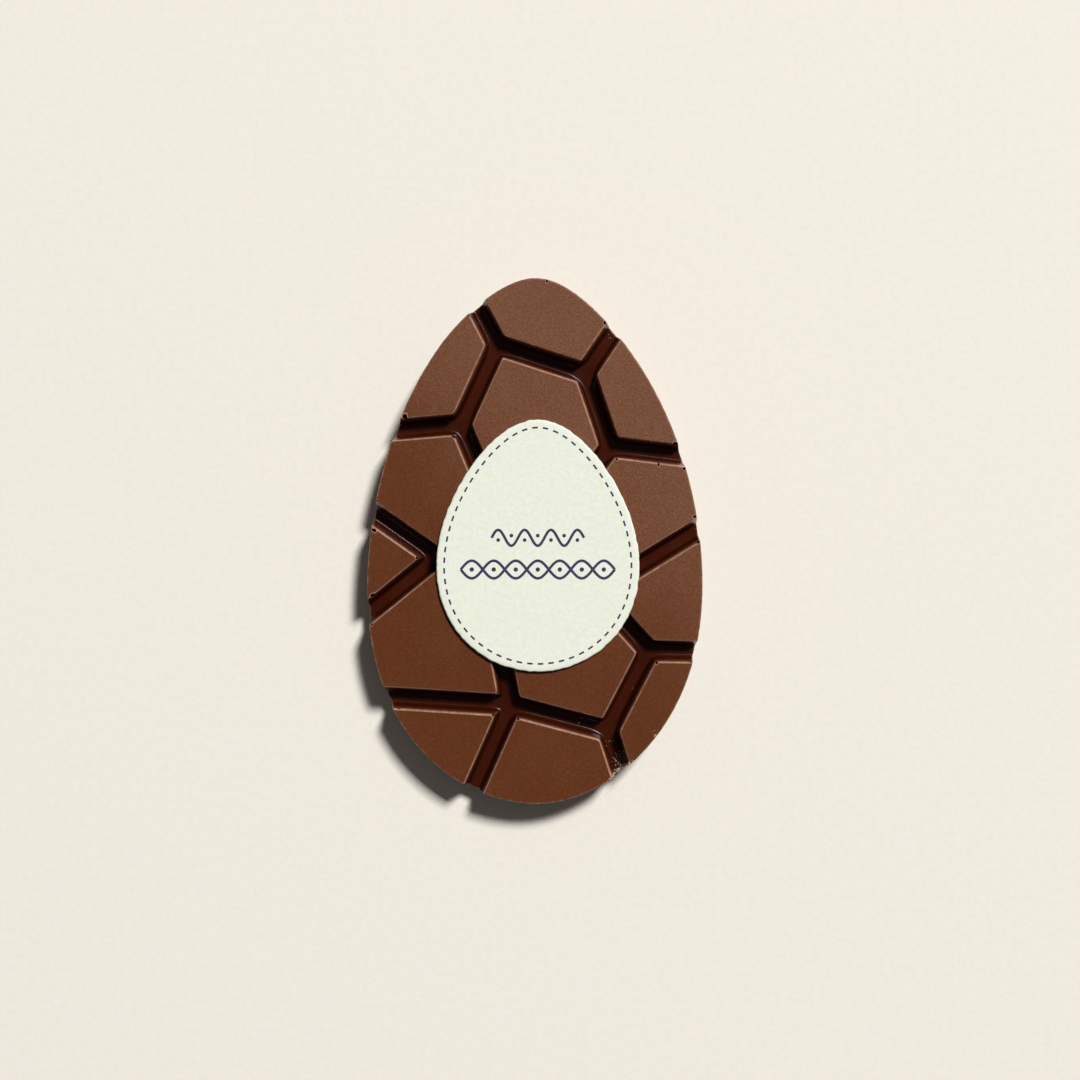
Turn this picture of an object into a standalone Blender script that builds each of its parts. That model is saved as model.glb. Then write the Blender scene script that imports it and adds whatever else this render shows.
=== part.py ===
"""A flat egg-shaped bar of milk chocolate, moulded as a mosaic of tiles, with a thin egg-shaped sugar plaque on it.

The bar lies on its flat underside with the tiles up. Metres, +Z up, +Y towards the egg's narrow end.
The origin is the middle of the underside.
"""

import math

import bmesh
import bpy
from mathutils import Matrix, Vector

MM = 0.001

# The bar: a moulded slab whose sides lean in a little towards the tiles, so that it leaves its mould.
BAR_LENGTH = 120 * MM
BAR_BREADTH = 37.6 * MM  # half the width halfway along, before the taper
BAR_TAPER = (-0.174, 0.0, -0.022, -0.13)
BAR_HEIGHT = 10 * MM
BAR_DRAFT = 0.5 * MM
BAR_EDGE = 0.3 * MM
BAR_SEGMENTS = 120

# The grooves between the tiles: steep walls, a rounded floor and a small lip along each tile.
GROOVE_WIDTH = 4.8 * MM
GROOVE_DEPTH = 4.6 * MM
GROOVE_WALL_RUN = 1.3 * MM  # how far each wall leans in from its lip to the floor
GROOVE_FILLET = 0.9 * MM
GROOVE_LIP = 0.2 * MM
GROOVE_OVERRUN = 3 * MM  # past the bar's side and above its top

# The sugar plaque, which rests on the tiles.
PLAQUE_LENGTH = 57.6 * MM
PLAQUE_BREADTH = 22.9 * MM
PLAQUE_TAPER = (-0.19, -0.054)
PLAQUE_CENTRE = (0.5 * MM, -1.1 * MM)
PLAQUE_THICKNESS = 0.9 * MM
PLAQUE_EDGE = 0.25 * MM
PLAQUE_RIPPLE = 0.08 * MM  # the edge is cut slightly wavy
PLAQUE_RIPPLES = 60
PLAQUE_SEGMENTS = 240
CONTACT_GAP = 0.3 * MM

# Where grooves meet, in millimetres from the egg's middle.
JUNCTIONS = {
    "crown_left": (-8.8, 44.7),
    "crown_right": (11.3, 38.2),
    "shoulder_left": (-17.1, 26.6),
    "shoulder_right": (17.0, 21.5),
    "heart_left": (-10.2, 9.8),
    "heart_right": (10.8, 13.2),
    "waist_left": (-22.7, -3.8),
    "core_left": (-12.9, -1.0),
    "core_right": (13.8, -11.8),
    "core_foot": (-10.0, -15.0),
    "hip_right": (25.9, -25.1),
    "foot_left": (-5.7, -37.5),
    "foot_right": (16.5, -43.3),
}
# Where grooves run out through the bar's side.
RIM_ENDS = {
    "rim_crown_left": (-13.3, 53.3),
    "rim_crown_right": (18.0, 48.1),
    "rim_shoulder_left": (-30.9, 25.4),
    "rim_shoulder_right": (33.2, 19.5),
    "rim_waist_high": (-36.8, 6.1),
    "rim_waist_low": (-37.8, -16.1),
    "rim_waist_right": (37.4, 2.7),
    "rim_hip_right": (36.8, -25.3),
    "rim_foot_left": (-32.7, -35.8),
    "rim_base_left": (-14.0, -56.2),
    "rim_base_right": (19.5, -52.7),
}
GROOVES = (
    ("crown_left", "rim_crown_left"),
    ("crown_left", "crown_right"),
    ("crown_right", "rim_crown_right"),
    ("crown_left", "shoulder_left"),
    ("crown_right", "shoulder_right"),
    ("shoulder_left", "rim_shoulder_left"),
    ("shoulder_right", "rim_shoulder_right"),
    ("shoulder_left", "heart_left"),
    ("shoulder_right", "heart_right"),
    ("heart_left", "heart_right"),
    ("heart_left", "core_left"),
    ("heart_right", "core_right"),
    ("core_left", "waist_left"),
    ("waist_left", "rim_waist_high"),
    ("waist_left", "rim_waist_low"),
    ("core_left", "core_foot"),
    ("core_foot", "core_right"),
    ("core_right", "rim_waist_right"),
    ("core_right", "hip_right"),
    ("hip_right", "rim_hip_right"),
    ("hip_right", "foot_right"),
    ("core_foot", "foot_left"),
    ("foot_left", "foot_right"),
    ("foot_left", "rim_foot_left"),
    ("foot_left", "rim_base_left"),
    ("foot_right", "rim_base_right"),
)


def clear_scene():
    for obj in list(bpy.data.objects):
        bpy.data.objects.remove(obj, do_unlink=True)


def new_collection(name):
    collection = bpy.data.collections.new(name)
    bpy.context.scene.collection.children.link(collection)
    return collection


def new_material(name, colour, roughness):
    material = bpy.data.materials.new(name)
    material.use_nodes = True
    shader = material.node_tree.nodes["Principled BSDF"]
    shader.inputs["Base Color"].default_value = (*colour, 1)
    shader.inputs["Roughness"].default_value = roughness
    shader.inputs["Metallic"].default_value = 0
    return material


def egg_point(turn, length, breadth, taper):
    """The point of an egg outline at an angle from its narrow end, which points along +Y."""
    along = math.cos(turn)
    swell = 1 + sum(share * along**power for power, share in enumerate(taper, start=1))
    return Vector((breadth * math.sin(turn) * swell, length / 2 * along))


def egg_outline(segments, length, breadth, taper):
    """An egg outline, anticlockwise from its narrow end."""
    turns = (-2 * math.pi * i / segments for i in range(segments))
    return [egg_point(turn, length, breadth, taper) for turn in turns]


def rippled(outline, depth, ripples):
    """The outline with a shallow wave along it, always inside the plain one."""
    middle = sum(outline, Vector((0, 0))) / len(outline)
    wavy = []
    for i, point in enumerate(outline):
        wave = (1 - math.cos(2 * math.pi * ripples * i / len(outline))) / 2
        wavy.append(point - (point - middle).normalized() * depth * wave)
    return wavy


def stacked_slab(name, outline, levels, material, collection):
    """A solid through copies of one outline, each as (height, inset from the outline)."""
    half = Vector((max(p.x for p in outline), max(p.y for p in outline)))
    bm = bmesh.new()
    ring = bmesh.ops.create_circle(bm, cap_ends=True, segments=len(outline), radius=1)["verts"]
    for step, (height, inset) in enumerate(levels):
        if step:
            ring = raised_ring(bm, ring)
        for vert, point in zip(ring, outline):
            vert.co = (point.x * (1 - inset / half.x), point.y * (1 - inset / half.y), height)
    bm.faces.new(ring)
    bmesh.ops.recalc_face_normals(bm, faces=bm.faces)
    mesh = bpy.data.meshes.new(name)
    bm.to_mesh(mesh)
    bm.free()
    mesh.materials.append(material)
    obj = bpy.data.objects.new(name, mesh)
    collection.objects.link(obj)
    return obj


def raised_ring(bm, ring):
    """The ring of vertices that an extrusion of this ring's edges adds, in the same order."""
    members = set(ring)
    edges = [edge for edge in bm.edges if members.issuperset(edge.verts)]
    grown = bmesh.ops.extrude_edge_only(bm, edges=edges)["geom"]
    risen = {item for item in grown if isinstance(item, bmesh.types.BMVert)}
    ends = ([edge.other_vert(vert) for edge in vert.link_edges] for vert in ring)
    return [next(end for end in near if end in risen) for near in ends]


def groove_half_profile():
    """Half of a groove's section, from the middle of its floor to above its lip, as (across, height)."""
    lip_at = GROOVE_WIDTH / 2
    floor_at = lip_at - GROOVE_WALL_RUN
    lean = math.atan2(GROOVE_WALL_RUN, GROOVE_DEPTH)
    corner = Vector((floor_at, -GROOVE_DEPTH))
    tangent = GROOVE_FILLET * math.tan((math.pi / 2 - lean) / 2)
    centre = corner + Vector((-tangent, GROOVE_FILLET))
    points = [Vector((0, -GROOVE_DEPTH))]
    steps = 5
    for i in range(steps + 1):
        turn = (math.pi / 2 - lean) * i / steps
        points.append(centre + GROOVE_FILLET * Vector((math.sin(turn), -math.cos(turn))))
    points.append(Vector((lip_at - GROOVE_LIP * math.tan(lean), -GROOVE_LIP)))
    points.append(Vector((lip_at + GROOVE_LIP, 0)))
    points.append(Vector((lip_at + GROOVE_LIP, GROOVE_OVERRUN)))
    return points


def groove_cutter(name, start, end, collection):
    """A straight groove as a closed solid: its section drawn as a flat outline and extruded along the run."""
    half = groove_half_profile()
    section = [Vector((-p.x, p.y)) for p in reversed(half[1:])] + half
    curve = bpy.data.curves.new(name, "CURVE")
    curve.dimensions = "2D"
    curve.fill_mode = "BOTH"
    spline = curve.splines.new("POLY")
    spline.points.add(len(section) - 1)
    for point, place in zip(spline.points, section):
        point.co = (place.x, place.y, 0, 1)
    spline.use_cyclic_u = True
    run = end - start
    curve.extrude = run.length / 2
    drawn = bpy.data.objects.new(name, curve)
    collection.objects.link(drawn)
    along = Vector((run.x, run.y, 0)).normalized()
    up = Vector((0, 0, 1))
    across = up.cross(along)
    turn = Matrix((across, up, along)).transposed().to_4x4()
    middle = (start + end) / 2
    drawn.matrix_world = Matrix.Translation((middle.x, middle.y, BAR_HEIGHT)) @ turn
    return curve_to_cutter(drawn, collection)


def curve_to_cutter(drawn, collection):
    """The mesh of a curve object, with its caps welded on, in place of it."""
    bpy.context.view_layer.update()
    name = drawn.name
    evaluated = drawn.evaluated_get(bpy.context.evaluated_depsgraph_get())
    mesh = bpy.data.meshes.new_from_object(evaluated)
    bm = bmesh.new()
    bm.from_mesh(mesh)
    bmesh.ops.remove_doubles(bm, verts=bm.verts, dist=0.001 * MM)
    bmesh.ops.recalc_face_normals(bm, faces=bm.faces)
    bm.to_mesh(mesh)
    bm.free()
    cutter = bpy.data.objects.new(name + "_cutter", mesh)
    cutter.matrix_world = drawn.matrix_world
    cutter.hide_render = True
    cutter.display_type = "WIRE"
    collection.objects.link(cutter)
    bpy.data.objects.remove(drawn, do_unlink=True)
    return cutter


def groove_end(name, start):
    """A groove's end: a junction, or a point just outside the bar's side beyond a rim end."""
    if name in JUNCTIONS:
        return Vector(JUNCTIONS[name]) * MM
    rim = Vector(RIM_ENDS[name]) * MM
    return rim + (rim - start).normalized() * GROOVE_OVERRUN


def make_bar(parts, cutters):
    """The chocolate: the egg slab with its network of grooves."""
    chocolate = new_material("milk_chocolate", (0.147, 0.050, 0.027), 0.42)
    outline = egg_outline(BAR_SEGMENTS, BAR_LENGTH, BAR_BREADTH, BAR_TAPER)
    levels = (
        (0, BAR_EDGE),
        (BAR_EDGE, 0),
        (BAR_HEIGHT - BAR_EDGE, BAR_DRAFT),
        (BAR_HEIGHT, BAR_DRAFT + BAR_EDGE),
    )
    bar = stacked_slab("chocolate_bar", outline, levels, chocolate, parts)
    for first, second in GROOVES:
        start = Vector(JUNCTIONS[first]) * MM
        groove_cutter(f"groove_{first}_{second}", start, groove_end(second, start), cutters)
    cut = bar.modifiers.new("grooves", "BOOLEAN")
    cut.operation = "DIFFERENCE"
    cut.solver = "EXACT"
    cut.operand_type = "COLLECTION"
    cut.collection = cutters
    return bar


def make_plaque(parts):
    """The sugar plaque, a thin disc of the egg's shape with a slightly wavy cut edge."""
    sugar = new_material("sugar_paste", (0.82, 0.82, 0.73), 0.6)
    outline = egg_outline(PLAQUE_SEGMENTS, PLAQUE_LENGTH, PLAQUE_BREADTH, PLAQUE_TAPER)
    outline = rippled(outline, PLAQUE_RIPPLE, PLAQUE_RIPPLES)
    levels = (
        (0, 0),
        (PLAQUE_THICKNESS - PLAQUE_EDGE, 0),
        (PLAQUE_THICKNESS, PLAQUE_EDGE),
    )
    plaque = stacked_slab("sugar_plaque", outline, levels, sugar, parts)
    plaque.location = (*PLAQUE_CENTRE, BAR_HEIGHT + CONTACT_GAP)
    return plaque


def main():
    clear_scene()
    parts = new_collection("chocolate_egg")
    cutters = new_collection("cutters")
    make_bar(parts, cutters)
    make_plaque(parts)


main()
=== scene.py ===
"""The looks of a flat egg-shaped bar of moulded milk chocolate with a printed sugar plaque on it.

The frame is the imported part's: +Z up, +Y towards the egg's narrow end, the bar on its flat underside.
Shapes are worked out in millimetres and become metres where a mesh is made.
"""

import math
import random

import bmesh
import bpy
import numpy as np
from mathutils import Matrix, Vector, noise
from mathutils.geometry import delaunay_2d_cdt
from mathutils.kdtree import KDTree


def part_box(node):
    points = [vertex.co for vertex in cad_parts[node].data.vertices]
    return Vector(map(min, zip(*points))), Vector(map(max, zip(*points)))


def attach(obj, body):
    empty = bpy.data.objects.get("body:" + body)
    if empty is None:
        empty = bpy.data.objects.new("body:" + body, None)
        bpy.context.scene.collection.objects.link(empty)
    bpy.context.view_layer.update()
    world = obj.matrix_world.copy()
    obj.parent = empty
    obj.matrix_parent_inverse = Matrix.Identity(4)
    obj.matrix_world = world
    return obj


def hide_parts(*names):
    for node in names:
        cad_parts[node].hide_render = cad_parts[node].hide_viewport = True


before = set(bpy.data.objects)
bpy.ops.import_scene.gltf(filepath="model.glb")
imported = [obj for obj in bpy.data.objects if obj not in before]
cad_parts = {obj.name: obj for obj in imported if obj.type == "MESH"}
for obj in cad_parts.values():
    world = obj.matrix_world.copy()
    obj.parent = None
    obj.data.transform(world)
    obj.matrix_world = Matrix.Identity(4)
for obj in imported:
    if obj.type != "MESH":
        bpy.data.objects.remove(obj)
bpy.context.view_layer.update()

MM = 0.001
SEED = 7

# ---------------------------------------------------------------- the bar's sizes, in mm

BAR_LOW, BAR_HIGH = (np.array(corner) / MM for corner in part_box("chocolate_bar"))
BAR_TOP = BAR_HIGH[2]
BAR_TAPER = (-0.174, 0.0, -0.022, -0.13)
BAR_DRAFT = 0.08  # the sides lean in this much from the underside to the tiles
BAR_EDGE = 0.3
# How much further out the left side lies: at its middle, and the most that is added towards its ends.
LEFT_FULLNESS = (0.25, 0.95)
RIM_POINTS = 720
RIM_RADIUS = 0.28
RIM_RINGS = (0.0, 0.03, 0.09, 0.18, 0.28, 0.65)  # how far in from the top outline each ring of points lies
SIDE_ROWS = (0.03, 0.1, 0.22, 0.38, 0.55, 0.72, 0.88)  # shares of the way down the side

GROOVE_HALF = 2.52
GROOVE_DEPTH = 4.6
WALL_RUN = 1.3
FLOOR_RADIUS = 0.65
LIP_RADIUS = 0.34
LIP_SOFTNESS = 0.12  # how round the tiles' corners are in plan at the lip, and at the floor
FLOOR_SOFTNESS = 0.75
GROOVE_OVERRUN = 3.0
POINT_STEP = 0.4
TILE_STEP = 0.9
TILE_MARGINS = (0.25, 0.7)  # how far past the lip the tiles' first two lines of points lie
UNDERSIDE_STEP = 2.0

JUNCTIONS = {
    "crown_left": (-8.8, 44.7),
    "crown_right": (11.3, 38.2),
    "shoulder_left": (-17.1, 26.6),
    "shoulder_right": (17.0, 21.5),
    "heart_left": (-10.2, 9.8),
    "heart_right": (10.8, 13.2),
    "waist_left": (-22.7, -3.8),
    "core_left": (-12.9, -1.0),
    "core_right": (13.8, -11.8),
    "core_foot": (-10.0, -15.0),
    "hip_right": (25.9, -25.1),
    "foot_left": (-5.7, -37.5),
    "foot_right": (16.5, -43.3),
}
RIM_ENDS = {
    "rim_crown_left": (-13.3, 53.3),
    "rim_crown_right": (18.0, 48.1),
    "rim_shoulder_left": (-30.9, 25.4),
    "rim_shoulder_right": (33.2, 19.5),
    "rim_waist_high": (-36.8, 6.1),
    "rim_waist_low": (-37.8, -16.1),
    "rim_waist_right": (37.4, 2.7),
    "rim_hip_right": (36.8, -25.3),
    "rim_foot_left": (-32.7, -35.8),
    "rim_base_left": (-14.0, -56.2),
    "rim_base_right": (19.5, -52.7),
}
PLACES = {name: np.array(place) for name, place in (JUNCTIONS | RIM_ENDS).items()}
GROOVES = (
    ("crown_left", "rim_crown_left"),
    ("crown_left", "crown_right"),
    ("crown_right", "rim_crown_right"),
    ("crown_left", "shoulder_left"),
    ("crown_right", "shoulder_right"),
    ("shoulder_left", "rim_shoulder_left"),
    ("shoulder_right", "rim_shoulder_right"),
    ("shoulder_left", "heart_left"),
    ("shoulder_right", "heart_right"),
    ("heart_left", "heart_right"),
    ("heart_left", "core_left"),
    ("heart_right", "core_right"),
    ("core_left", "waist_left"),
    ("waist_left", "rim_waist_high"),
    ("waist_left", "rim_waist_low"),
    ("core_left", "core_foot"),
    ("core_foot", "core_right"),
    ("core_right", "rim_waist_right"),
    ("core_right", "hip_right"),
    ("hip_right", "rim_hip_right"),
    ("hip_right", "foot_right"),
    ("core_foot", "foot_left"),
    ("foot_left", "foot_right"),
    ("foot_left", "rim_foot_left"),
    ("foot_left", "rim_base_left"),
    ("foot_right", "rim_base_right"),
)

# Air bubbles that the mould left at the tiles' corners: place and radius.
PITS = (
    (-15.4, 51.4, 0.28),
    (-15.3, 48.7, 0.20),
    (2.6, 59.3, 0.31),
    (16.3, 50.2, 0.38),
    (-29.8, 28.2, 0.69),
    (-18.7, 29.0, 0.25),
    (-18.7, 23.9, 0.53),
    (-31.1, 23.3, 0.31),
    (32.2, 22.3, 0.50),
    (18.5, 18.6, 0.28),
    (28.0, 17.4, 0.33),
    (34.0, 16.5, 0.35),
    (-36.1, 9.1, 0.25),
    (36.8, 5.6, 0.38),
    (-36.8, 2.4, 0.5),
    (37.1, -0.2, 0.62),
    (-27.0, -3.9, 0.38),
    (-37.2, -12.6, 0.62),
    (-37.4, -19.1, 0.31),
    (23.0, -25.5, 0.25),
    (27.6, -27.8, 0.33),
    (35.7, -27.6, 0.35),
    (-8.6, -34.6, 0.50),
    (-31.2, -38.2, 0.31),
    (-9.6, -39.8, 0.38),
    (-4.0, -40.6, 0.30),
)
ON_SIDE = -0.002  # points less far inside the top outline than this are on the bar's side, in mm
PIT_RINGS = (0.35, 0.62, 0.8, 0.92, 1.0, 1.12, 1.35)  # shares of the pit's radius
PIT_POINTS = 18


# ---------------------------------------------------------------- outlines


def smooth_step(value, low, high):
    """0 below low, 1 above high, and an even S between them."""
    share = np.clip((value - low) / (high - low), 0, 1)
    return share * share * (3 - 2 * share)


def egg_outline(count, length, width, taper):
    """Points of an egg outline, anticlockwise from its narrow end."""
    turns = np.arange(count) * (2 * math.pi / count)
    along = np.cos(turns)
    swell = 1 + sum(share * along**power for power, share in enumerate(taper, start=1))
    across = -np.sin(turns) * swell
    return np.column_stack((across * width / np.ptp(across), along * length / 2))


def outward_normals(outline):
    """The unit normals of a closed anticlockwise outline."""
    tangents = np.roll(outline, -1, axis=0) - np.roll(outline, 1, axis=0)
    normals = np.column_stack((tangents[:, 1], -tangents[:, 0]))
    return normals / np.linalg.norm(normals, axis=1, keepdims=True)


def inset(outline, depth):
    return outline - outward_normals(outline) * depth


def even_steps(outline, step):
    """A closed outline resampled at equal steps along its length."""
    closed = np.vstack((outline, outline[:1]))
    lengths = np.concatenate(([0], np.cumsum(np.linalg.norm(np.diff(closed, axis=0), axis=1))))
    count = round(lengths[-1] / step)
    places = np.arange(count) * lengths[-1] / count
    return np.column_stack([np.interp(places, lengths, closed[:, axis]) for axis in (0, 1)])


class Edge:
    """A closed outline that tells how far inside it any point lies."""

    def __init__(self, outline):
        self.points = outline
        self.normals = outward_normals(outline)
        self.tree = KDTree(len(outline))
        for index, (x, y) in enumerate(outline):
            self.tree.insert((x, y, 0), index)
        self.tree.balance()

    def nearest(self, points):
        return np.array([self.tree.find((x, y, 0))[1] for x, y in points])

    def inside(self, points):
        near = self.nearest(points)
        return np.einsum("ij,ij->i", self.points[near] - points, self.normals[near])


BAR_SIZE = BAR_HIGH - BAR_LOW


def bar_outline(count):
    """The bar's outline at its underside: an egg whose left side is a little fuller than its right."""
    outline = egg_outline(count, BAR_SIZE[1], BAR_SIZE[0], BAR_TAPER)
    fullness = LEFT_FULLNESS[0] + LEFT_FULLNESS[1] * np.minimum(np.abs(outline[:, 1]) / 45, 1) ** 2
    outline[:, 0] -= fullness * smooth_step(-outline[:, 0], 0, 20)
    return outline


TOP_EDGE = Edge(inset(bar_outline(8 * RIM_POINTS), BAR_DRAFT))


# ---------------------------------------------------------------- the bar's upper surface


def groove_line(first, second):
    """The ends of a groove's centre-line, which runs on past the bar's side at a rim end."""
    start, end = PLACES[first], PLACES[second]
    if second in RIM_ENDS:
        end = end + GROOVE_OVERRUN * (end - start) / np.linalg.norm(end - start)
    return start, end


def groove_distances(points):
    """The distance from each point to each groove's centre-line, one column a groove."""
    columns = []
    for first, second in GROOVES:
        start, end = groove_line(first, second)
        run = end - start
        share = np.clip((points - start) @ run / (run @ run), 0, 1)
        columns.append(np.linalg.norm(points - start - share[:, None] * run, axis=1))
    return np.column_stack(columns)


def soft_least(distances, softness):
    """The least of each row, lowered where two are alike, which rounds the corner between them."""
    least = distances.min(axis=1, keepdims=True)
    return least[:, 0] - softness * np.log(np.exp((least - distances) / softness).sum(axis=1))


def reach(points):
    """How far across a groove each point lies, with the tiles' corners rounder towards the floor."""
    distances = groove_distances(points)
    crisp = soft_least(distances, LIP_SOFTNESS)
    rounded = soft_least(distances, FLOOR_SOFTNESS)
    share = smooth_step(crisp, GROOVE_HALF - WALL_RUN, GROOVE_HALF)
    return rounded * (1 - share) + crisp * share


def arc(centre, radius, start, end, steps):
    """Points on an arc, its angles measured from straight down towards +X."""
    turns = np.linspace(start, end, steps)
    return [centre + radius * np.array((math.sin(turn), -math.cos(turn))) for turn in turns]


def groove_profile():
    """A groove's section from its middle outwards, as (across, height), the tiles' tops at height 0."""
    lean = math.atan2(WALL_RUN, GROOVE_DEPTH)
    bend = math.pi / 2 - lean
    foot = np.array((GROOVE_HALF - WALL_RUN, -GROOVE_DEPTH))
    lip = np.array((GROOVE_HALF, 0.0))
    floor_centre = foot + (-FLOOR_RADIUS * math.tan(bend / 2), FLOOR_RADIUS)
    lip_centre = lip + (LIP_RADIUS * math.tan(bend / 2), -LIP_RADIUS)
    floor = arc(floor_centre, FLOOR_RADIUS, 0, bend, 7)
    edge = arc(lip_centre, LIP_RADIUS, -math.pi + bend, -math.pi, 5)
    wall = [floor[-1] + share * (edge[0] - floor[-1]) for share in (0.25, 0.5, 0.75)]
    return np.array([(0, -GROOVE_DEPTH), *floor, *wall, *edge])


def groove_directions(place):
    """The directions of the grooves that leave a junction, as angles by the name of their far end."""
    ends = [second for first, second in GROOVES if first == place]
    ends += [first for first, second in GROOVES if second == place]
    runs = {end: PLACES[end] - PLACES[place] for end in ends}
    return {end: math.atan2(run[1], run[0]) for end, run in runs.items()}


def corner_trim(place, towards, side, level):
    """How far from a junction the line beside a groove starts, where it meets the next groove's line."""
    if place in RIM_ENDS:
        return -GROOVE_OVERRUN
    headings = groove_directions(place)
    heading = headings.pop(towards)
    corner = min(side * (other - heading) % (2 * math.pi) for other in headings.values())
    return level / math.tan(corner / 2)


def settled(points, level):
    """The points moved until each lies exactly at this reach."""
    nudge = 0.001
    for _ in range(5):
        here = reach(points)
        slope = np.column_stack([(reach(points + step) - here) / nudge for step in np.eye(2) * nudge])
        gap = (level - here) / np.maximum((slope**2).sum(axis=1), 0.05)
        points = points + slope * np.clip(gap, -0.4, 0.4)[:, None]
    return points


def groove_contours(profile):
    """Lines of points along both sides of every groove, one at each step of its section."""
    levels = [*profile[1:, 0], *(profile[-1, 0] + margin for margin in TILE_MARGINS)]
    lines = []
    for first, second in GROOVES:
        start, end = PLACES[first], PLACES[second]
        length = np.linalg.norm(end - start)
        along = (end - start) / length
        across = np.array((-along[1], along[0]))
        centre_line = np.linspace(0, length - corner_trim(second, first, 1, 0), math.ceil(length / POINT_STEP))
        lines.append((start + centre_line[:, None] * along, 0))
        for side in (1, -1):
            for level in levels:
                begin = corner_trim(first, second, side, level)
                stop = length - corner_trim(second, first, -side, level)
                places = np.linspace(begin, stop, math.ceil((stop - begin) / POINT_STEP) + 1)
                lines.append((start + places[:, None] * along + side * level * across, level))
    return [settled(points, level) if level else points for points, level in lines]


def pit_place(index):
    """A pit's middle, moved in from the bar's edge where the pit would break through it."""
    x, y, radius = PITS[index]
    near = TOP_EDGE.nearest([(x, y)])[0]
    gap = 1.25 * radius + 0.03 - TOP_EDGE.inside(np.array([(x, y)]))[0]
    return np.array((x, y)) - TOP_EDGE.normals[near] * max(gap, 0)


def pit_shape(index, turns):
    """How a pit's radius varies round it, so that no two are alike."""
    draw = random.Random(SEED + index)
    phase, second_phase = draw.uniform(0, 6), draw.uniform(0, 6)
    return 1 + 0.2 * np.cos(2 * turns + phase) + 0.1 * np.cos(3 * turns + second_phase)


PIT_PLACES = [pit_place(index) for index in range(len(PITS))]


def pit_rings():
    """Closed rings of points round each pit."""
    turns = np.arange(PIT_POINTS) * 2 * math.pi / PIT_POINTS
    circle = np.column_stack((np.cos(turns), np.sin(turns)))
    rings = []
    for index, (_, _, radius) in enumerate(PITS):
        shape = (radius * pit_shape(index, turns))[:, None] * circle
        rings += [PIT_PLACES[index] + share * shape for share in PIT_RINGS]
    return rings


def pit_share(points, index):
    """How far from a pit's middle each point is, as a share of the pit's radius there."""
    gap = points - PIT_PLACES[index]
    turns = np.arctan2(gap[:, 1], gap[:, 0])
    return np.hypot(gap[:, 0], gap[:, 1]) / (PITS[index][2] * pit_shape(index, turns))


def noise_at(points, size, layer=0.0):
    """Smooth noise from -1 to 1 whose lumps are about size across."""
    return np.array([noise.noise((x / size, y / size, layer)) for x, y in points])


def tile_share(across):
    """1 on the tiles and 0 on the grooves' walls."""
    return smooth_step(across, GROOVE_HALF - 0.3, GROOVE_HALF + 0.1)


class BarTop:
    """Heights of the bar's upper surface at any points, and how pale its edges are, partly from rubbing and
    partly as a painted highlight.
    """

    def __init__(self, profile):
        self.profile = profile

    def height(self, points):
        across = reach(points)
        inside = np.clip(TOP_EDGE.inside(points), 0, RIM_RADIUS)
        drop = RIM_RADIUS - np.sqrt(RIM_RADIUS**2 - (RIM_RADIUS - inside) ** 2)
        height = BAR_TOP - 0.02 + np.interp(across, self.profile[:, 0], self.profile[:, 1]) - drop
        height += self.unevenness(points, across)
        for index, (_, _, radius) in enumerate(PITS):
            share = pit_share(points, index)
            height -= 4 * radius * (1 - smooth_step(share, 0.65, 1.0)) * tile_share(across)
        return height

    def unevenness(self, points, across):
        """Slow waves on the tiles, and a livelier skin on the grooves' floors."""
        tile = 0.02 * noise_at(points, 11) * smooth_step(across, GROOVE_HALF, GROOVE_HALF + 1)
        floor = 0.03 * noise_at(points, 3.5, 4.0) * (1 - smooth_step(across, 0.8, 1.6))
        return tile + floor - 0.02 * smooth_step(across, GROOVE_HALF, GROOVE_HALF + 1)

    def shade(self, points):
        """1 inside a pit, where painted shade darkens the colour near to black, and 0 elsewhere."""
        dark = np.zeros(len(points))
        for index in range(len(PITS)):
            dark = np.maximum(dark, 1 - smooth_step(pit_share(points, index), 0.7, 0.95))
        return dark * tile_share(reach(points))

    def depth(self, points):
        """How deep in a groove each point lies: 0 at the tiles, 1 at the floor, and 0 on the bar's side."""
        fall = -np.interp(reach(points), self.profile[:, 0], self.profile[:, 1]) / GROOVE_DEPTH
        return fall * (TOP_EDGE.inside(points) > ON_SIDE)

    def wear_and_edge_highlight(self, points):
        """1 on the crests of the lips, the rim and the pits' edges, which are coloured pale: partly from
        rubbing, partly a painted highlight for the light these rounded edges catch.
        """
        across = reach(points)
        lip = np.exp(-(((across - self.profile[-4, 0]) / 0.13) ** 2))
        lip *= 0.75 + 0.25 * noise_at(points, 1.5, 7.0)
        inside = TOP_EDGE.inside(points)
        rim = np.exp(-((inside / 0.16) ** 2)) * (0.6 + 0.4 * smooth_step(across, 2.0, 2.6))
        rim *= np.clip(0.55 + 0.9 * noise_at(points, 0.9, 8.0), 0.1, 1)
        worn_and_highlit = np.maximum(lip, rim)
        for index in range(len(PITS)):
            ring = np.exp(-(((pit_share(points, index) - 1.08) / 0.14) ** 2))
            worn_and_highlit = np.maximum(worn_and_highlit, 0.8 * ring * tile_share(across))
        return worn_and_highlit * (inside > ON_SIDE)


# ---------------------------------------------------------------- meshes


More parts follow.
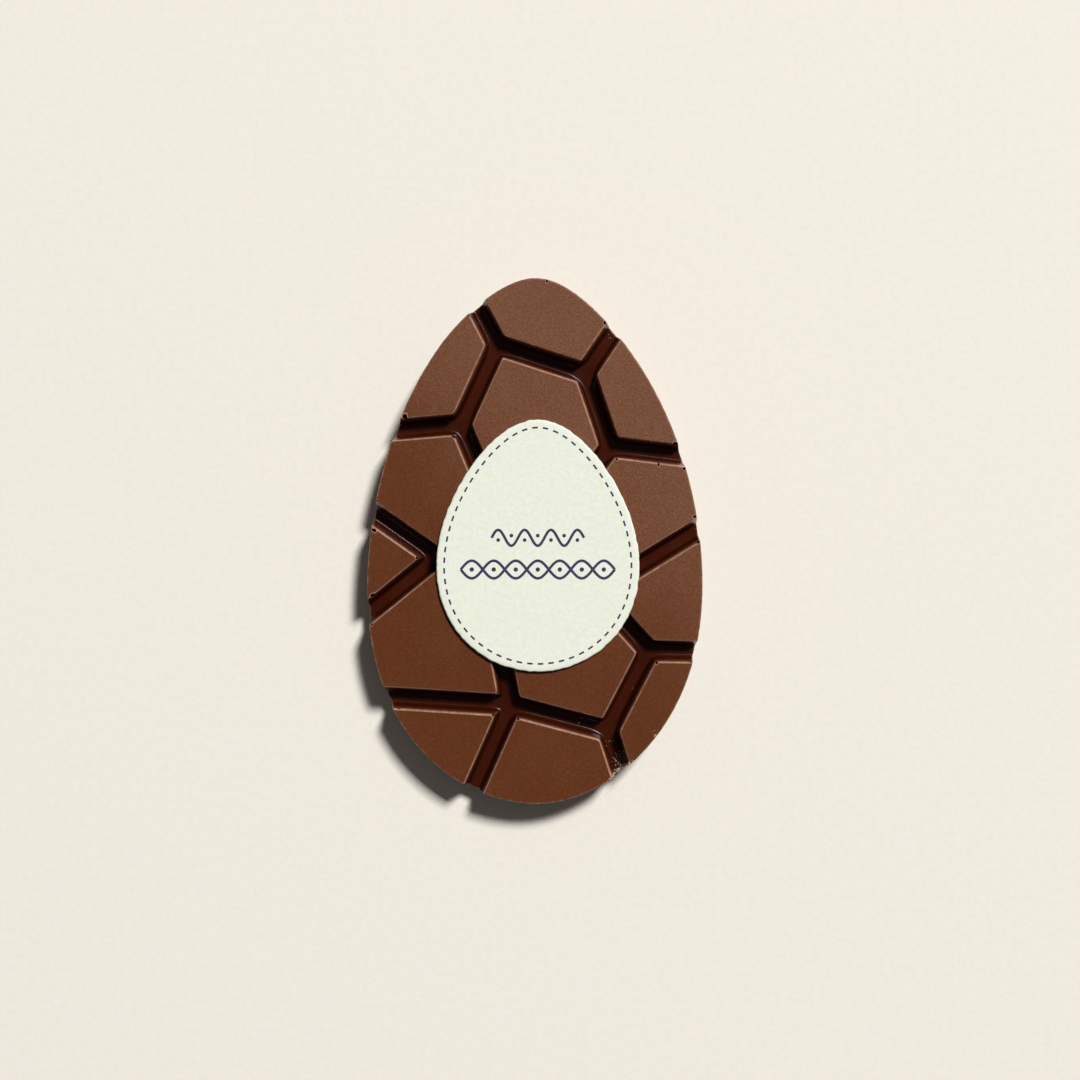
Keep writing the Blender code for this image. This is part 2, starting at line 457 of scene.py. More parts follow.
def triangulated(lines, rings, loose, keep):
    """Triangles through lines, closed rings and loose points, of which keep(middles) says which stay."""
    points, edges = [], []
    for line in lines:
        first = len(points)
        points += [Vector(point) for point in line]
        edges += [(first + i, first + i + 1) for i in range(len(line) - 1)]
    for ring in rings:
        first = len(points)
        points += [Vector(point) for point in ring]
        edges += [(first + i, first + (i + 1) % len(ring)) for i in range(len(ring))]
    points += [Vector(point) for point in loose]
    found, _, faces, *_ = delaunay_2d_cdt(points, edges, [], 0, 1e-5)
    places = np.array(found)
    faces = np.array([face for face in faces if len(face) == 3])
    corners = places[faces]
    sides = corners[:, 1:] - corners[:, :1]
    area = sides[:, 0, 0] * sides[:, 1, 1] - sides[:, 0, 1] * sides[:, 1, 0]
    if area.sum() < 0:
        faces = faces[:, ::-1]
    faces = faces[keep(corners.mean(axis=1))]
    used, index = np.unique(faces, return_inverse=True)
    return places[used], index.reshape(-1, 3)


def boundary_loop(faces):
    """The longest open border of a sheet of triangles, as vertex numbers in order."""
    edges = {(a, b) for face in faces.tolist() for a, b in zip(face, face[1:] + face[:1])}
    following = {a: b for a, b in edges if (b, a) not in edges}
    loops = []
    while following:
        loop = [min(following)]
        while loop[-1] in following:
            loop.append(following.pop(loop[-1]))
        loops.append(loop[:-1])
    return np.array(max(loops, key=len))


def bridged(lower, upper):
    """Two triangles for each step between two closed rings of vertex numbers."""
    next_lower, next_upper = np.roll(lower, -1), np.roll(upper, -1)
    first = np.column_stack((lower, next_lower, next_upper))
    second = np.column_stack((lower, next_upper, upper))
    return np.vstack((first, second))


def mesh_piece(name, points, faces, material, smooth_below=40):
    """A new object from points in mm, smooth except at edges sharper than the angle in degrees."""
    mesh = bpy.data.meshes.new(name)
    mesh.from_pydata((points * MM).tolist(), [], faces if isinstance(faces, list) else faces.tolist())
    mesh.validate()
    mesh.materials.append(material)
    mesh.shade_smooth()
    mesh.set_sharp_from_angle(angle=math.radians(smooth_below))
    piece = bpy.data.objects.new(name, mesh)
    bpy.context.scene.collection.objects.link(piece)
    return piece


def spread_points(low, high, step, seed):
    """Points on a triangular grid over a box, each nudged a little."""
    draw = np.random.default_rng(seed)
    columns = np.arange(low[0], high[0], step)
    rows = np.arange(low[1], high[1], step * 0.87)
    grid = np.array([(x + step / 2 * (row % 2), y) for row, y in enumerate(rows) for x in columns])
    return grid + draw.uniform(-0.15, 0.15, grid.shape) * step


def bar_sheet(top):
    """The plan of the bar's upper surface as triangles: contours, rim rings, pits and points on the tiles."""
    outline = bar_outline(RIM_POINTS)
    rings = [inset(outline, BAR_DRAFT + depth) for depth in RIM_RINGS]
    pits = pit_rings()
    loose = spread_points(BAR_LOW, BAR_HIGH, TILE_STEP, SEED)
    clear = (reach(loose) > GROOVE_HALF + 1.2) & (TOP_EDGE.inside(loose) > 1.1)
    for index in range(len(PITS)):
        clear &= pit_share(loose, index) > 1.8
    return triangulated(
        groove_contours(top.profile),
        rings + pits,
        loose[clear],
        lambda middles: TOP_EDGE.inside(middles) > 0,
    )


def bar_side(points, loop, edge_height):
    """Rings of points from the upper surface's border down the side to the underside's border."""
    border = points[loop]
    outward = TOP_EDGE.normals[TOP_EDGE.nearest(border[:, :2])]
    rows = []
    for share in SIDE_ROWS:
        height = border[:, 2] + share * (edge_height - border[:, 2])
        rows.append(np.column_stack((border[:, :2] + outward * BAR_DRAFT * share, height)))
    for turn in (0, 0.4, 0.8, math.pi / 2):
        out = BAR_DRAFT - edge_height * (1 - math.cos(turn))
        height = edge_height * (1 - math.sin(turn))
        rows.append(np.column_stack((border[:, :2] + outward * out, np.full(len(border), height))))
    return rows


def underside(ring):
    """The points of the flat underside inside a ring, a little hollow between them, and its triangles."""
    loose = spread_points(BAR_LOW, BAR_HIGH, UNDERSIDE_STEP, SEED + 1)
    loose = loose[TOP_EDGE.inside(loose) > UNDERSIDE_STEP / 2]
    plan, faces = triangulated([], [ring], loose, lambda middles: np.full(len(middles), True))
    hollow = 0.06 * (1 + noise_at(plan, 14, 2.0)) * smooth_step(TOP_EDGE.inside(plan), 0.8, 6)
    return np.column_stack((plan, hollow)), faces[:, ::-1]


def chocolate_bar(material, top):
    """The bar: its tiled upper surface, its sides and its underside welded into one mesh."""
    plan, faces = bar_sheet(top)
    points = np.column_stack((plan, top.height(plan)))
    loop = boundary_loop(faces)
    rows = bar_side(points, loop, BAR_EDGE)
    stacks, all_faces, upper = [points], [faces], loop
    for row in rows:
        lower = np.arange(len(row)) + sum(len(stack) for stack in stacks)
        all_faces.append(bridged(lower, upper))
        stacks.append(row)
        upper = lower
    floor, floor_faces = underside(rows[-1][:, :2])
    all_faces.append(floor_faces + sum(len(stack) for stack in stacks))
    stacks.append(floor)
    points = np.vstack(stacks)
    points, faces = welded(points, np.vstack(all_faces))
    piece = mesh_piece("milk_chocolate_bar", points, faces, material)
    upper = points[:, 2] > BAR_TOP - GROOVE_DEPTH - 0.4
    # The pit values say where shade is painted into the pits.
    for name, share_at in (("wear_and_edge_highlight", top.wear_and_edge_highlight), ("pit", top.shade), ("depth", top.depth)):
        values = np.zeros(len(points), np.float32)
        values[upper] = share_at(points[upper, :2])
        piece.data.attributes.new(name, "FLOAT", "POINT").data.foreach_set("value", values)
    return piece


def welded(points, faces):
    """Points in the same place made one."""
    _, first, index = np.unique(np.round(points, 5), axis=0, return_index=True, return_inverse=True)
    faces = index.reshape(-1)[faces]
    whole = (faces[:, 0] != faces[:, 1]) & (faces[:, 1] != faces[:, 2]) & (faces[:, 0] != faces[:, 2])
    return points[first], faces[whole]


# ---------------------------------------------------------------- crumbs

# Where crumbs lie: (x, y, spread, how many, least size, greatest size), and what they lie on.
CRUMBS_IN_GROOVES = (
    (19.7, -49.8, 1.8, 110, 0.12, 0.3),
    (18.9, -51.2, 1.0, 8, 0.25, 0.6),
    (17.2, -46.2, 1.3, 8, 0.12, 0.35),
    (9.9, -41.3, 1.0, 4, 0.2, 0.45),
    (17.0, 47.0, 0.7, 3, 0.15, 0.35),
)
CRUMBS_ON_TILES = (
    (27.2, -44.4, 0.5, 6, 0.2, 0.45),
    (27.0, -43.4, 0.3, 3, 0.12, 0.3),
    (24.5, -36.0, 3.5, 7, 0.08, 0.18),
    (6.0, -50.0, 6.5, 12, 0.07, 0.15),
    (-16.0, -46.0, 6.0, 8, 0.07, 0.15),
    (4.0, -28.0, 6.5, 8, 0.07, 0.15),
    (-22.0, -23.0, 7.0, 9, 0.07, 0.15),
    (28.0, 10.0, 5.0, 5, 0.07, 0.14),
)
BROKEN_RIM = ((17.0, -54.9), (22.6, -50.3))
BROKEN_CRUMBS = 220
BROKEN_HEIGHT = 1.5
CRUMB_CORNERS = 11


def crumb(place, size, draw):
    """One angular crumb whose lowest point lies at the place, as points and faces."""
    hull = bmesh.new()
    stretch = np.array((1, draw.uniform(0.6, 1), draw.uniform(0.45, 0.8)))
    for _ in range(CRUMB_CORNERS):
        way = np.array([draw.gauss(0, 1) for _ in range(3)])
        hull.verts.new(way / np.linalg.norm(way) * size / 2 * stretch)
    bmesh.ops.convex_hull(hull, input=hull.verts)
    loose = [vert for vert in hull.verts if not vert.link_faces]
    bmesh.ops.delete(hull, geom=loose, context="VERTS")
    bmesh.ops.recalc_face_normals(hull, faces=hull.faces)
    hull.verts.index_update()
    points = np.array([vert.co for vert in hull.verts])
    faces = [tuple(vert.index for vert in face.verts) for face in hull.faces]
    hull.free()
    turn = draw.uniform(0, 2 * math.pi)
    spin = np.array(((math.cos(turn), -math.sin(turn)), (math.sin(turn), math.cos(turn))))
    points[:, :2] = points[:, :2] @ spin.T
    return points - (0, 0, points[:, 2].min()) + place, faces


def crumb_spots(top, draw):
    """Where each loose crumb lies and its size, as rows of (x, y, z, size)."""
    rows = []
    for x, y, spread, count, least, greatest in CRUMBS_IN_GROOVES + CRUMBS_ON_TILES:
        for _ in range(count):
            rows.append((draw.gauss(x, spread / 2), draw.gauss(y, spread / 2), draw.uniform(least, greatest)))
    rows = np.array(rows)
    places, sizes = rows[:, :2], rows[:, 2]
    kept = (TOP_EDGE.inside(places) > sizes / 2 + 0.05) & (np.abs(reach(places) - 2.5) > 0.3 + sizes / 2)
    places, sizes = places[kept], sizes[kept]
    return np.column_stack((places, top.height(places) - 0.2 * sizes, sizes))


def broken_rim_spots(top, draw):
    """The same for the ragged ridge of broken chocolate across one groove's end."""
    start, end = (np.array(corner) for corner in BROKEN_RIM)
    rows = []
    for _ in range(BROKEN_CRUMBS):
        near = TOP_EDGE.nearest([start + draw.random() * (end - start)])[0]
        size = draw.uniform(0.18, 0.5)
        place = TOP_EDGE.points[near] - TOP_EDGE.normals[near] * (size / 2 + abs(draw.gauss(0.05, 0.25)))
        rise = BROKEN_HEIGHT * draw.random() ** 2
        height = min(top.height(place[None])[0] + rise, BAR_TOP - 0.2)
        rows.append((*place, height - 0.2 * size, size))
    return np.array(rows)


def crumbs(material, top):
    """The crumbs and dust that lie in the grooves and on the tiles, and the broken rim at a groove's end."""
    draw = random.Random(SEED + 3)
    spots = np.vstack((crumb_spots(top, draw), broken_rim_spots(top, draw)))
    points, faces = joined([crumb(spot[:3], spot[3], draw) for spot in spots])
    return mesh_piece("chocolate_crumbs", points, faces, material, smooth_below=25)


# ---------------------------------------------------------------- the plaque

PLAQUE_LOW, PLAQUE_HIGH = (np.array(corner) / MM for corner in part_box("sugar_plaque"))
PLAQUE_MIDDLE = (PLAQUE_LOW + PLAQUE_HIGH)[:2] / 2
PLAQUE_SIZE = PLAQUE_HIGH - PLAQUE_LOW
PLAQUE_TAPER = (-0.19, -0.054)
PLAQUE_FOOT = BAR_TOP + 0.02
PLAQUE_TOP = PLAQUE_HIGH[2] - 0.08
PLAQUE_STEP = 0.25
PLAQUE_TOP_STEP = 0.8
OUTLINE_POINTS = 2400
# The cut edge from the foot up: how far in from the outline, and the share of the thickness.
PLAQUE_SIDE = ((0.3, 0), (0.1, 0.08), (0.02, 0.3), (0, 0.55), (0.03, 0.75), (0.1, 0.88), (0.22, 0.96), (0.45, 1))


def plain_plaque_outline():
    """The plaque's egg, its middle at the origin, without the waves of the cut."""
    return egg_outline(OUTLINE_POINTS, PLAQUE_SIZE[1], PLAQUE_SIZE[0], PLAQUE_TAPER)


def plaque_outline():
    """The plaque's cut outline: an egg with the small uneven waves that the cutter left."""
    plain = even_steps(plain_plaque_outline(), PLAQUE_STEP)
    waves = noise_at(plain, 1.3, 9.0) + 0.6 * noise_at(plain, 3.2, 5.0)
    depth = 0.13 + 0.13 * np.clip(waves, -1, 1)
    return PLAQUE_MIDDLE + plain - outward_normals(plain) * depth[:, None]


def plaque_height(points):
    """The plaque's faintly cockled upper face."""
    return PLAQUE_TOP + 0.01 * noise_at(points, 2.5, 3.0) + 0.03 * noise_at(points, 9, 6.0)


def plaque_side(outline):
    """Rings of points up the plaque's cut edge, from its foot to its upper face."""
    thickness = PLAQUE_TOP - PLAQUE_FOOT
    rows = []
    for depth, share in PLAQUE_SIDE:
        ring = inset(outline, depth)
        rise = (plaque_height(ring) - PLAQUE_TOP) * share**3
        rows.append(np.column_stack((ring, PLAQUE_FOOT + thickness * share + rise)))
    return rows


def plaque_cap(ring, loose):
    """The plan of a face of the plaque inside a ring, as points and triangles."""
    edge = Edge(ring)
    return triangulated([], [ring], loose, lambda middles: edge.inside(middles) > 0)


def sugar_plaque(material):
    """The plaque: its upper face, its cut edge and its foot, welded into one mesh."""
    outline = plaque_outline()
    rows = plaque_side(outline)
    top_ring = rows[-1][:, :2]
    loose = spread_points(PLAQUE_LOW, PLAQUE_HIGH, PLAQUE_TOP_STEP, SEED + 2)
    loose = loose[Edge(top_ring).inside(loose) > 0.5]
    plan, top_faces = plaque_cap(top_ring, loose)
    foot_plan, foot_faces = plaque_cap(rows[0][:, :2], [])
    points = np.vstack(rows)
    count = len(outline)
    rings = [np.arange(count) + count * i for i in range(len(rows))]
    faces = [bridged(lower, upper) for lower, upper in zip(rings, rings[1:])]
    faces.append(top_faces + len(points))
    points = np.vstack((points, np.column_stack((plan, plaque_height(plan)))))
    faces.append(foot_faces[:, ::-1] + len(points))
    points = np.vstack((points, np.column_stack((foot_plan, np.full(len(foot_plan), PLAQUE_FOOT)))))
    points, faces = welded(points, np.vstack(faces))
    return mesh_piece("printed_sugar_plaque", points, faces, material)


# ---------------------------------------------------------------- the print on the plaque

INK_RISE = 0.03
INK_SINK = 0.04
BORDER_INSET = 1.95
DASH_PERIOD = 2.42
DASH_LENGTH = 1.25
DASH_WIDTH = 0.4
STROKE = 0.6
PATH_STEP = 0.05
# The ornament: one wave with dots, over a band of two crossing waves with a dot in each eye.
# A bend is half a wave.
UPPER_WAVE = {"height": 1.8, "width": 21.0, "rise": 4.2, "bends": 7}
LOWER_WAVES = {"height": -5.4, "width": 35.0, "rise": 4.6, "bends": 7}
DOT_SIZE = 1.0
DOT_SIDES = 20


def ink_ribbon(centre_line, width, closed=False):
    """A flat printed stroke along a line, as the points and faces of a thin closed ribbon."""
    line = np.array(centre_line)
    before = np.roll(line, 1, axis=0) if closed else np.vstack((line[:1], line[:-1]))
    after = np.roll(line, -1, axis=0) if closed else np.vstack((line[1:], line[-1:]))
    run_in, run_out = line - before, after - line
    run_in[(run_in == 0).all(axis=1)] = run_out[(run_in == 0).all(axis=1)]
    run_out[(run_out == 0).all(axis=1)] = run_in[(run_out == 0).all(axis=1)]
    run_in /= np.linalg.norm(run_in, axis=1, keepdims=True)
    run_out /= np.linalg.norm(run_out, axis=1, keepdims=True)
    side_in = np.column_stack((-run_in[:, 1], run_in[:, 0]))
    side_out = np.column_stack((-run_out[:, 1], run_out[:, 0]))
    mitre = side_in + side_out
    mitre /= np.linalg.norm(mitre, axis=1, keepdims=True)
    mitre /= (mitre * side_in).sum(axis=1, keepdims=True)
    left, right = line + mitre * width / 2, line - mitre * width / 2
    count = len(line)
    corners = []
    for flat, lift in ((left, INK_RISE), (right, INK_RISE), (left, -INK_SINK), (right, -INK_SINK)):
        corners.append(np.column_stack((flat, plaque_height(flat) + lift)))
    faces = []
    for i in range(count if closed else count - 1):
        j = (i + 1) % count
        faces.append((i, count + i, count + j, j))
        faces.append((2 * count + i, 2 * count + j, 3 * count + j, 3 * count + i))
        faces.append((i, j, 2 * count + j, 2 * count + i))
        faces.append((count + i, 3 * count + i, 3 * count + j, count + j))
    if not closed:
        last = count - 1
        faces.append((0, 2 * count, 3 * count, count))
        faces.append((last, count + last, 3 * count + last, 2 * count + last))
    return np.vstack(corners), faces


def joined(parts):
    """Several (points, faces) as one."""
    points, faces = [], []
    for part_points, part_faces in parts:
        base = sum(len(group) for group in points)
        faces += [tuple(base + corner for corner in face) for face in part_faces]
        points.append(part_points)
    return np.vstack(points), faces


def border_print(material):
    """The dashed line that follows the plaque's edge."""
    path = even_steps(inset(plain_plaque_outline(), BORDER_INSET), PATH_STEP)
    count = round(PATH_STEP * len(path) / DASH_PERIOD)
    dashes = []
    for index in range(count):
        start = index * len(path) / count
        steps = np.round(start + np.linspace(0, DASH_LENGTH / PATH_STEP, 5)).astype(int) % len(path)
        dashes.append(ink_ribbon(PLAQUE_MIDDLE + path[steps], DASH_WIDTH))
    points, faces = joined(dashes)
    return mesh_piece("border_print", points, faces, material, smooth_below=20)


def ink_dot(middle, size):
    """A round printed dot, as the points and faces of a thin closed disc."""
    turns = np.arange(DOT_SIDES) * 2 * math.pi / DOT_SIDES
    flat = middle + size / 2 * np.column_stack((np.cos(turns), np.sin(turns)))
    upper = np.column_stack((flat, plaque_height(flat) + INK_RISE))
    lower = np.column_stack((flat, plaque_height(flat) - INK_SINK))
    count = DOT_SIDES
    sides = [(count + i, count + (i + 1) % count, (i + 1) % count, i) for i in range(count)]
    caps = [tuple(range(count)), tuple(range(2 * count - 1, count - 1, -1))]
    return np.vstack((upper, lower)), caps + sides


def ink_wave(wave, side, lift):
    """One printed wave, which starts upwards where side is 1 and downwards where it is -1."""
    places = np.linspace(0, wave["width"], 40 * wave["bends"] + 1)
    swing = (wave["rise"] - STROKE) / 2 * np.sin(math.pi * wave["bends"] * places / wave["width"])
    line = np.column_stack((places - wave["width"] / 2, wave["height"] + side * swing))
    points, faces = ink_ribbon(PLAQUE_MIDDLE + line, STROKE)
    return points + (0, 0, lift), faces


def bend_middles(wave):
    """How far across the middle of each bend of a wave lies."""
    return [wave["width"] * ((bend + 0.5) / wave["bends"] - 0.5) for bend in range(wave["bends"])]


def ornament_print(material):
    """A wave with dots over a band of two crossing waves, in the middle of the plaque."""
    marks = [ink_wave(UPPER_WAVE, 1, 0), ink_wave(LOWER_WAVES, 1, 0), ink_wave(LOWER_WAVES, -1, 0.008)]
    for bend, across in enumerate(bend_middles(UPPER_WAVE)):
        away = 0.12 * UPPER_WAVE["rise"] * (1 if bend % 2 else -1)
        marks.append(ink_dot(PLAQUE_MIDDLE + (across, UPPER_WAVE["height"] + away), DOT_SIZE * 0.85))
    for across in bend_middles(LOWER_WAVES):
        marks.append(ink_dot(PLAQUE_MIDDLE + (across, LOWER_WAVES["height"]), DOT_SIZE))
    points, faces = joined(marks)
    return mesh_piece("ornament_print", points, faces, material, smooth_below=20)


# ---------------------------------------------------------------- materials

SHEEN_AND_BLOOM_DIRECTION = (0.6, 0.8, 0)  # the tiles are lighter in colour, more speckled, grainier and rougher this way, towards the key light; the lighter colour and specks are partly bloom and partly painted sheen
SHEEN_AND_BLOOM_START = -22  # mm along that direction
SHEEN_AND_BLOOM_FULL = 42


def linear(red, green, blue):
    """A colour given as sRGB from 0 to 255, as the linear values that a shader takes."""
    shares = (red / 255, green / 255, blue / 255)
    return tuple(s / 12.92 if s <= 0.04045 else ((s + 0.055) / 1.055) ** 2.4 for s in shares) + (1,)


class Shader:
    """A material's node tree, with a short call for each kind of node used here."""

    def __init__(self, name):
        self.material = bpy.data.materials.new(name)
        self.material.use_nodes = True
        self.tree = self.material.node_tree
        self.surface = self.tree.nodes["Principled BSDF"]
        self.place = self.tree.nodes.new("ShaderNodeTexCoord").outputs["Object"]

    def link(self, source, target):
        self.tree.links.new(source, target)

    def set(self, **values):
        for name, value in values.items():
            self.surface.inputs[name.replace("_", " ")].default_value = value

    def noise(self, size, detail=2.0, roughness=0.5):
        """Noise from 0 to 1 whose lumps are about size mm across."""
        node = self.tree.nodes.new("ShaderNodeTexNoise")
        self.link(self.place, node.inputs["Vector"])
        node.inputs["Scale"].default_value = 1 / (size * MM)
        node.inputs["Detail"].default_value = detail
        node.inputs["Roughness"].default_value = roughness
        return node.outputs["Fac"]

    def ramp(self, value, low, high, at_low=0.0, at_high=1.0):
        """The value mapped from low..high to at_low..at_high, without going past either."""
        node = self.tree.nodes.new("ShaderNodeMapRange")
        node.interpolation_type = "SMOOTHSTEP"
        self.link(value, node.inputs["Value"])
        for name, number in (("From Min", low), ("From Max", high), ("To Min", at_low), ("To Max", at_high)):
            node.inputs[name].default_value = number
        return node.outputs["Result"]

    def along(self, direction):
        """How far the point lies along a direction, in metres."""
        node = self.tree.nodes.new("ShaderNodeVectorMath")
        node.operation = "DOT_PRODUCT"
        self.link(self.place, node.inputs[0])
        node.inputs[1].default_value = direction
        return node.outputs["Value"]

    def attribute(self, name):
        node = self.tree.nodes.new("ShaderNodeAttribute")
        node.attribute_name = name
        return node.outputs["Fac"]

    def calculate(self, operation, first, second):
        node = self.tree.nodes.new("ShaderNodeMath")
        node.operation = operation
        for socket, value in zip(node.inputs, (first, second)):
            if isinstance(value, (int, float)):
                socket.default_value = value
            else:
                self.link(value, socket)
        return node.outputs["Value"]

    def blend(self, share, first, second):
        """One number going over to another."""
        node = self.tree.nodes.new("ShaderNodeMix")
        for socket, value in zip(node.inputs[:1] + node.inputs[2:4], (share, first, second)):
            self.link(value, socket)
        return node.outputs[0]

    def mix(self, share, first, second):
        """One colour going over to another."""
        node = self.tree.nodes.new("ShaderNodeMix")
        node.data_type = "RGBA"
        sockets = [node.inputs[i] for i in (0, 6, 7)]
        for socket, value in zip(sockets, (share, first, second)):
            if isinstance(value, (tuple, float)):
                socket.default_value = value
            else:
                self.link(value, socket)
        return node.outputs[2]

    def bump(self, value, depth, over=None):
        """A bump of this depth in mm, on top of another."""
        node = self.tree.nodes.new("ShaderNodeBump")
        node.inputs["Strength"].default_value = 1
        node.inputs["Distance"].default_value = depth * MM
        self.link(value, node.inputs["Height"])
        if over:
            self.link(over, node.inputs["Normal"])
        return node.outputs["Normal"]


def chocolate_material():
    """Milk chocolate: satin tiles, grainier and lighter towards the narrow end, the lighter colour partly
    painted sheen, and glossy deep brown grooves that darken with depth, partly as painted shade.
    """
    shader = Shader("milk_chocolate")
    depth = shader.attribute("depth")
    on_tile = shader.ramp(depth, 0.03, 0.13, 1, 0)
    cloud = shader.noise(14, 3)
    grain = shader.noise(0.42, 2, 0.6)
    sheen_and_bloom = shader.ramp(shader.along(SHEEN_AND_BLOOM_DIRECTION), SHEEN_AND_BLOOM_START * MM, SHEEN_AND_BLOOM_FULL * MM)
    sheen_and_bloom = shader.calculate("ADD", sheen_and_bloom, shader.ramp(cloud, 0.3, 0.7, -0.1, 0.1))
    # Partly painted sheen: the tiles' colour grows lighter towards the narrow end, the way the key light lies,
    # and partly bloom.
    skin = shader.mix(sheen_and_bloom, linear(95, 49, 23), linear(112, 68, 43))
    # The light specks, stronger that way too, are partly sugar bloom and partly painted glints.
    speckled = shader.ramp(grain, 0.42, 0.64)
    specks = shader.calculate("MULTIPLY", speckled, shader.ramp(sheen_and_bloom, 0, 1, 0.1, 0.34))
    skin = shader.mix(specks, skin, linear(140, 99, 77))
    # The grooves go from the tiles' colour at the lip to a darker, redder brown deep down: partly the glossy
    # chocolate's own colour, partly painted shade, with the lower walls painted darker than the floor.
    floor = shader.mix(shader.ramp(cloud, 0.3, 0.7), linear(53, 15, 3), linear(61, 20, 6))
    wall = shader.mix(shader.ramp(depth, 0.7, 1), linear(47, 12, 2), floor)
    colour = shader.mix(shader.ramp(depth, 0, 0.72), skin, wall)
    # Pale lips, rim and pit edges: partly chocolate pale from rubbing, partly a painted highlight for the light
    # the rounded edges catch.
    patchy = shader.ramp(shader.noise(1.2), 0.3, 0.6, 0.65, 1)
    rubbed_and_highlit = shader.calculate("MULTIPLY", shader.attribute("wear_and_edge_highlight"), patchy)
    colour = shader.mix(rubbed_and_highlit, colour, linear(215, 168, 143))
    # Painted shade: the pits' insides are coloured near black for the shade that falls in them.
    colour = shader.mix(shader.attribute("pit"), colour, linear(16, 5, 2))
    shader.link(colour, shader.surface.inputs["Base Color"])
    gloss = shader.ramp(shader.noise(5, 2), 0.3, 0.7, 0.19, 0.26)
    hazy_satin = shader.ramp(sheen_and_bloom, 0, 1, 0.32, 0.44)
    satin = shader.calculate("ADD", hazy_satin, shader.ramp(grain, 0.3, 0.7, -0.04, 0.04))
    shader.link(shader.blend(on_tile, gloss, satin), shader.surface.inputs["Roughness"])
    grit = shader.calculate("MULTIPLY", on_tile, shader.ramp(sheen_and_bloom, 0, 1, 0.6, 1))
    fine = shader.calculate("MULTIPLY", shader.noise(0.4, 2, 0.6), grit)
    normal = shader.bump(fine, 0.06)
    normal = shader.bump(shader.noise(2.5, 2), 0.014, normal)
    shader.link(normal, shader.surface.inputs["Normal"])
    shader.set(IOR=1.46, Specular_IOR_Level=0.22, Subsurface_Weight=0.05, Subsurface_Scale=0.001)
    return shader.material


def crumb_material():
    """Broken chocolate: the pale rough look of a fresh break."""
    shader = Shader("broken_chocolate")
    grain = shader.noise(0.3, 3, 0.6)
    colour = shader.mix(shader.ramp(grain, 0.35, 0.65), linear(165, 124, 98), linear(226, 196, 172))
    shader.link(colour, shader.surface.inputs["Base Color"])
    shader.link(shader.ramp(grain, 0.3, 0.7, 0.5, 0.7), shader.surface.inputs["Roughness"])
    shader.link(shader.bump(grain, 0.04), shader.surface.inputs["Normal"])
    shader.set(IOR=1.46, Specular_IOR_Level=0.3)
    return shader.material


def sugar_material():
    """Pressed sugar paste: off-white, matte, with a faint paper-like mottle."""
    shader = Shader("sugar_paste")
    mottle = shader.noise(1.1, 3, 0.6)
    cloud = shader.noise(9, 2)
    colour = shader.mix(shader.ramp(mottle, 0.35, 0.65), linear(233, 236, 218), linear(240, 242, 228))
    colour = shader.mix(shader.ramp(cloud, 0.35, 0.65, 0, 0.4), colour, linear(237, 239, 221))
    shader.link(colour, shader.surface.inputs["Base Color"])
    shader.link(shader.ramp(mottle, 0.3, 0.7, 0.62, 0.75), shader.surface.inputs["Roughness"])
    normal = shader.bump(mottle, 0.035)
    normal = shader.bump(shader.noise(0.3, 2), 0.012, normal)
    shader.link(normal, shader.surface.inputs["Normal"])
    shader.set(IOR=1.4, Subsurface_Weight=0.1, Subsurface_Scale=0.001)
    return shader.material


def ink_material():
    """Edible ink, soaked a little unevenly into the sugar."""
    shader = Shader("edible_ink")
    soak = shader.noise(0.5, 3, 0.6)
    colour = shader.mix(shader.ramp(soak, 0.3, 0.7), linear(46, 36, 72), linear(66, 52, 92))
    shader.link(colour, shader.surface.inputs["Base Color"])
    shader.link(shader.ramp(soak, 0.3, 0.7, 0.6, 0.75), shader.surface.inputs["Roughness"])
    shader.set(IOR=1.4)
    return shader.material


def floor_material():
    shader = Shader("pale_floor")
    fibre = shader.noise(1.5, 4, 0.6)
    colour = shader.mix(shader.ramp(fibre, 0.3, 0.7), linear(240, 234, 222), linear(243, 237, 226))
    shader.link(colour, shader.surface.inputs["Base Color"])
    shader.link(shader.bump(fibre, 0.03), shader.surface.inputs["Normal"])
    shader.set(Roughness=0.8)
    return shader.material


# ---------------------------------------------------------------- stage, lights and camera

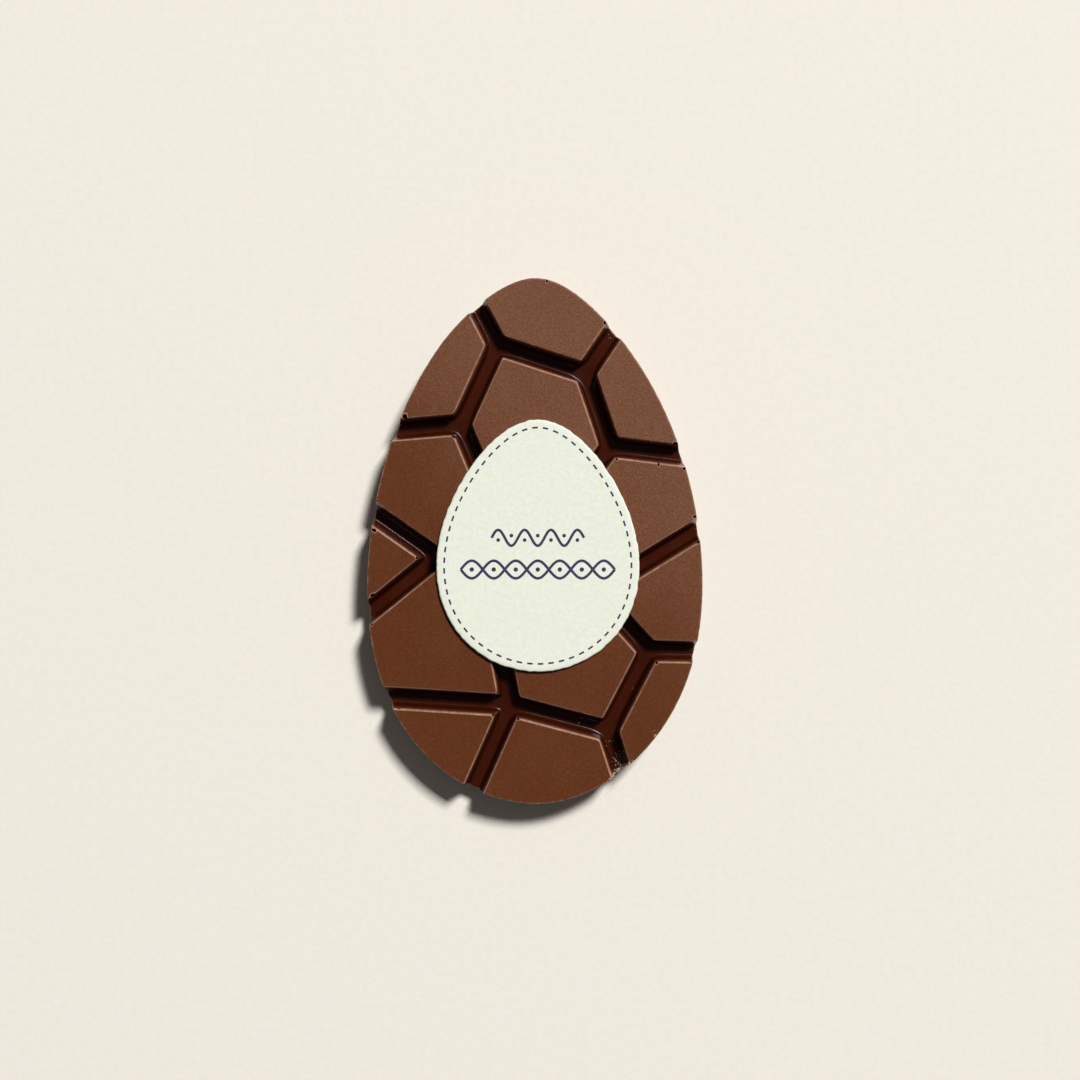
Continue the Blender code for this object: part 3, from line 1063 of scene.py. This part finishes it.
FLOOR_HALF = 12000
VIEW_WIDTH = 246.0  # of the bar's top that the photograph's frame takes in, in mm
VIEW_MIDDLE = (1.0, 0.2)
LENS = 62
KEY_AZIMUTH = 55  # from +X towards +Y, in degrees
KEY_ELEVATION = 52
KEY_DISTANCE = 12000
KEY_SIZE = 2160
KEY_POWER = 1670
FILL_STRENGTH = 0.075


def make_floor():
    corners = np.array([(x, y, 0) for x, y in ((-1, -1), (1, -1), (1, 1), (-1, 1))]) * FLOOR_HALF
    floor = mesh_piece("floor", corners, [(0, 1, 2, 3)], floor_material())


def make_area_light(name, azimuth, elevation, distance, size, power):
    """A square lamp that faces the bar's middle."""
    light = bpy.data.lights.new(name, "AREA")
    light.size = size * MM
    light.energy = power
    lamp = bpy.data.objects.new(name, light)
    turn, rise = math.radians(azimuth), math.radians(elevation)
    away = Vector((math.cos(turn) * math.cos(rise), math.sin(turn) * math.cos(rise), math.sin(rise)))
    lamp.location = away * distance * MM
    lamp.rotation_mode = "QUATERNION"
    lamp.rotation_quaternion = away.to_track_quat("Z", "Y")
    bpy.context.scene.collection.objects.link(lamp)


def make_lights():
    make_area_light("key", KEY_AZIMUTH, KEY_ELEVATION, KEY_DISTANCE, KEY_SIZE, KEY_POWER)
    world = bpy.data.worlds.new("studio")
    world.use_nodes = True
    sky = world.node_tree.nodes["Background"]
    sky.inputs["Color"].default_value = (1, 1, 1, 1)
    sky.inputs["Strength"].default_value = FILL_STRENGTH
    bpy.context.scene.world = world


def make_camera():
    camera = bpy.data.cameras.new("camera")
    camera.lens = LENS
    camera.sensor_width = 36
    camera.clip_start = 0.01
    camera.clip_end = 10
    view = bpy.data.objects.new("camera", camera)
    away = VIEW_WIDTH * LENS / camera.sensor_width
    view.location = Vector((*VIEW_MIDDLE, BAR_TOP + away)) * MM
    bpy.context.scene.collection.objects.link(view)
    bpy.context.scene.camera = view


def main():
    make_camera()
    make_lights()
    make_floor()
    ink = ink_material()
    top = BarTop(groove_profile())
    bar = chocolate_bar(chocolate_material(), top)
    bits = crumbs(crumb_material(), top)
    plaque = sugar_plaque(sugar_material())
    border = border_print(ink)
    ornament = ornament_print(ink)
    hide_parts("chocolate_bar")
    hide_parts("sugar_plaque")
    for piece in (bar, bits, plaque, border, ornament):
        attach(piece, "root")
    bpy.context.scene.view_settings.view_transform = "Standard"


main()
